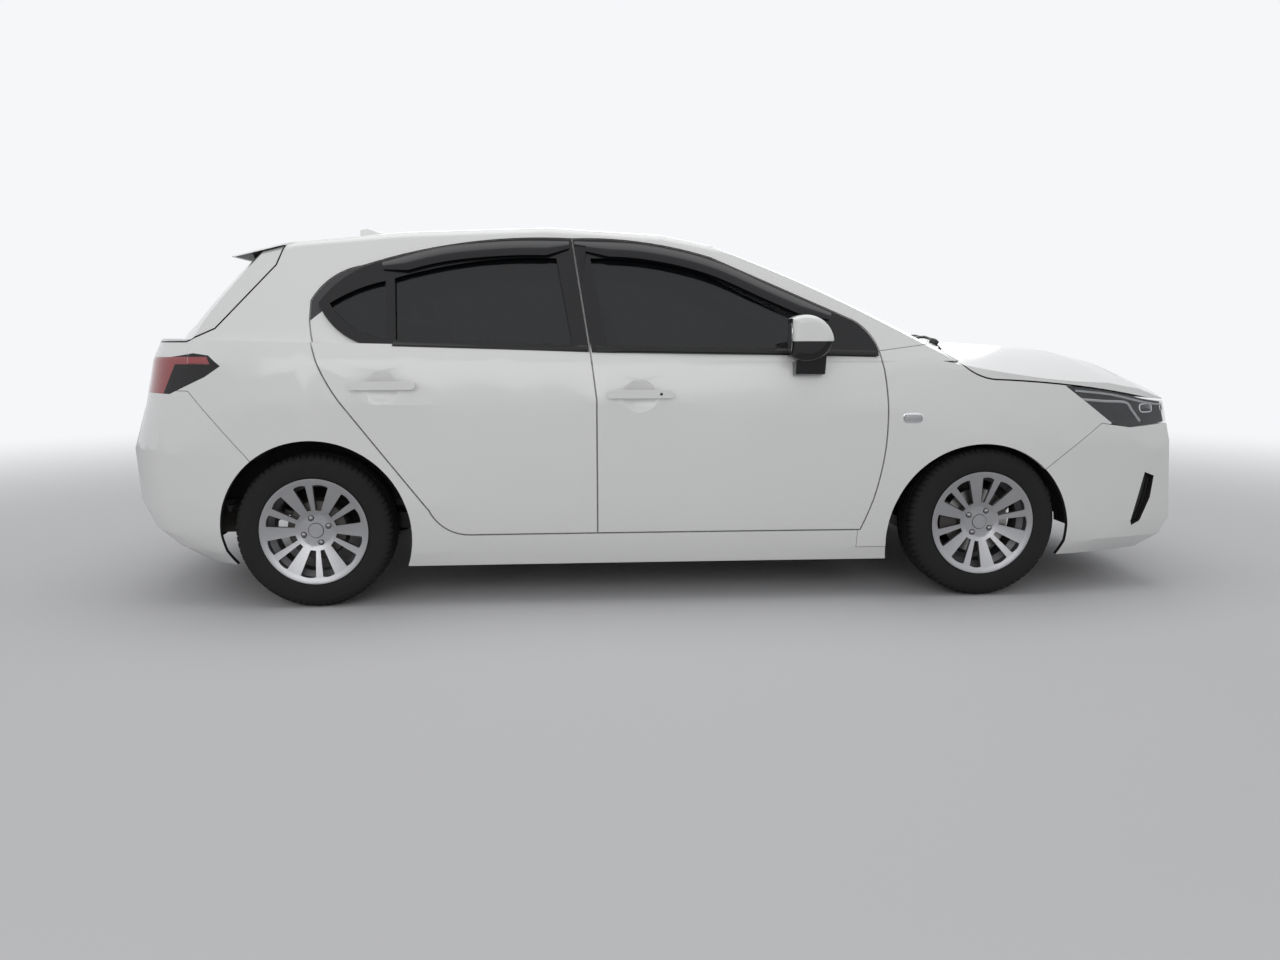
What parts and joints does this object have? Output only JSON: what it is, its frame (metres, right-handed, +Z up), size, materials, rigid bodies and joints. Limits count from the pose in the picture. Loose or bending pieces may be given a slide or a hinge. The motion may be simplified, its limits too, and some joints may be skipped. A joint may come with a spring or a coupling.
{
  "type": "hatchback car",
  "caption": "Small hatchback car with opening hood, side doors and tailgate, steered front wheels and free-rolling wheels.",
  "frame": {"origin": "on the ground under the middle of the overall box", "axes": "+X towards the car's nose, +Y to the car's left, +Z up"},
  "size_m": [4.3393, 1.95, 1.5079],
  "materials": {
    "white_paint": "gloss",
    "black_plastic": "satin",
    "tinted_glass": "clear, smoke tint",
    "clear_lens": "clear",
    "red_lens": "gloss",
    "tyre_rubber": "matte",
    "alloy": "machined",
    "cast_metal": "raw",
    "black_steel": "satin",
    "bare_steel": "dull",
    "soft_grip": "satin",
    "seat_fabric": "woven"
  },
  "bodies": {
    "body": {"body_side_left": "white_paint", "body_side_right": "white_paint", "cowl": "black_plastic", "dashboard": "black_plastic", "drive_shafts": "black_steel", "engine_block": "cast_metal", "exhaust": "bare_steel", "floor_pan": "white_paint", "front_arch_liners": "black_plastic", "front_bumper": "white_paint", "front_fenders": "white_paint", "front_frame": "black_steel", "front_seats": "seat_fabric", "front_subframe": "black_steel", "fuel_tank": "black_plastic", "grilles": "black_plastic", "headlamps": "clear_lens", "rear_axle": "black_steel", "rear_bumper": "white_paint", "rear_seat": "seat_fabric", "roof": "white_paint", "tail_lamps": "red_lens", "windscreen": "tinted_glass"},
    "hood": {"hood": "white_paint"},
    "tailgate": {"tailgate": "white_paint", "tailgate_glass": "tinted_glass", "tailgate_spoiler": "white_paint"},
    "front_right_door": {"front_right_door": "white_paint", "front_right_door_glass": "tinted_glass", "front_right_door_trim": "black_plastic", "front_right_mirror": "white_paint"},
    "front_left_door": {"front_left_door": "white_paint", "front_left_door_glass": "tinted_glass", "front_left_door_trim": "black_plastic", "front_left_mirror": "white_paint"},
    "rear_right_door": {"rear_right_door": "white_paint", "rear_right_door_glass": "tinted_glass", "rear_right_door_trim": "black_plastic"},
    "rear_left_door": {"rear_left_door": "white_paint", "rear_left_door_glass": "tinted_glass", "rear_left_door_trim": "black_plastic"},
    "right_steer": {"right_knuckle": "cast_metal"},
    "left_steer": {"left_knuckle": "cast_metal"},
    "steering_wheel": {"steering_wheel": "soft_grip"},
    "front_right_wheel": {"front_right_disc": "cast_metal", "front_right_rim": "alloy", "front_right_tyre": "tyre_rubber"},
    "front_left_wheel": {"front_left_disc": "cast_metal", "front_left_rim": "alloy", "front_left_tyre": "tyre_rubber"},
    "rear_right_wheel": {"rear_right_drum": "cast_metal", "rear_right_rim": "alloy", "rear_right_tyre": "tyre_rubber"},
    "rear_left_wheel": {"rear_left_drum": "cast_metal", "rear_left_rim": "alloy", "rear_left_tyre": "tyre_rubber"}
  },
  "joints": [
    {"name": "hood_hinge", "type": "hinge", "parent": "body", "child": "hood", "pos_m": [1.085, 0, 1], "axis": [0, -1, 0], "range_deg": [0, 50]},
    {"name": "tailgate_hinge", "type": "hinge", "parent": "body", "child": "tailgate", "pos_m": [-1.443, 0, 1.425], "axis": [0, 1, 0], "range_deg": [0, 80]},
    {"name": "front_right_door_hinge", "type": "hinge", "parent": "body", "child": "front_right_door", "pos_m": [0.846, -0.876, 0.6], "axis": [0, 0, 1], "range_deg": [0, 65]},
    {"name": "rear_right_door_hinge", "type": "hinge", "parent": "body", "child": "rear_right_door", "pos_m": [-0.268, -0.876, 0.6], "axis": [0, 0, 1], "range_deg": [0, 65]},
    {"name": "front_left_door_hinge", "type": "hinge", "parent": "body", "child": "front_left_door", "pos_m": [0.846, 0.876, 0.6], "axis": [0, 0, -1], "range_deg": [0, 65]},
    {"name": "rear_left_door_hinge", "type": "hinge", "parent": "body", "child": "rear_left_door", "pos_m": [-0.268, 0.876, 0.6], "axis": [0, 0, -1], "range_deg": [0, 65]},
    {"name": "left_steer", "type": "hinge", "parent": "body", "child": "left_steer", "pos_m": [1.248, 0.69, 0.19], "axis": [0, -0.1891, 0.982], "range_deg": [-33, 33]},
    {"name": "right_steer", "type": "hinge", "parent": "body", "child": "right_steer", "pos_m": [1.248, -0.69, 0.19], "axis": [0, 0.1891, 0.982], "range_deg": [-33, 33]},
    {"name": "steering_wheel_turn", "type": "hinge", "parent": "body", "child": "steering_wheel", "pos_m": [0.545, -0.36, 0.9], "axis": [-0.9, 0, 0.436], "range_deg": [-470, 470]},
    {"name": "front_right_wheel_spin", "type": "hinge", "parent": "right_steer", "child": "front_right_wheel", "pos_m": [1.248, -0.7485, 0.295], "axis": [0, 1, 0], "continuous": true},
    {"name": "rear_right_wheel_spin", "type": "hinge", "parent": "body", "child": "rear_right_wheel", "pos_m": [-1.341, -0.7415, 0.295], "axis": [0, 1, 0], "continuous": true},
    {"name": "front_left_wheel_spin", "type": "hinge", "parent": "left_steer", "child": "front_left_wheel", "pos_m": [1.248, 0.7485, 0.295], "axis": [0, 1, 0], "continuous": true},
    {"name": "rear_left_wheel_spin", "type": "hinge", "parent": "body", "child": "rear_left_wheel", "pos_m": [-1.341, 0.7415, 0.295], "axis": [0, 1, 0], "continuous": true}
  ],
  "couplings": [
    {"joint": "right_steer", "follows": "left_steer", "ratio": 1},
    {"joint": "steering_wheel_turn", "follows": "left_steer", "ratio": 14}
  ]
}
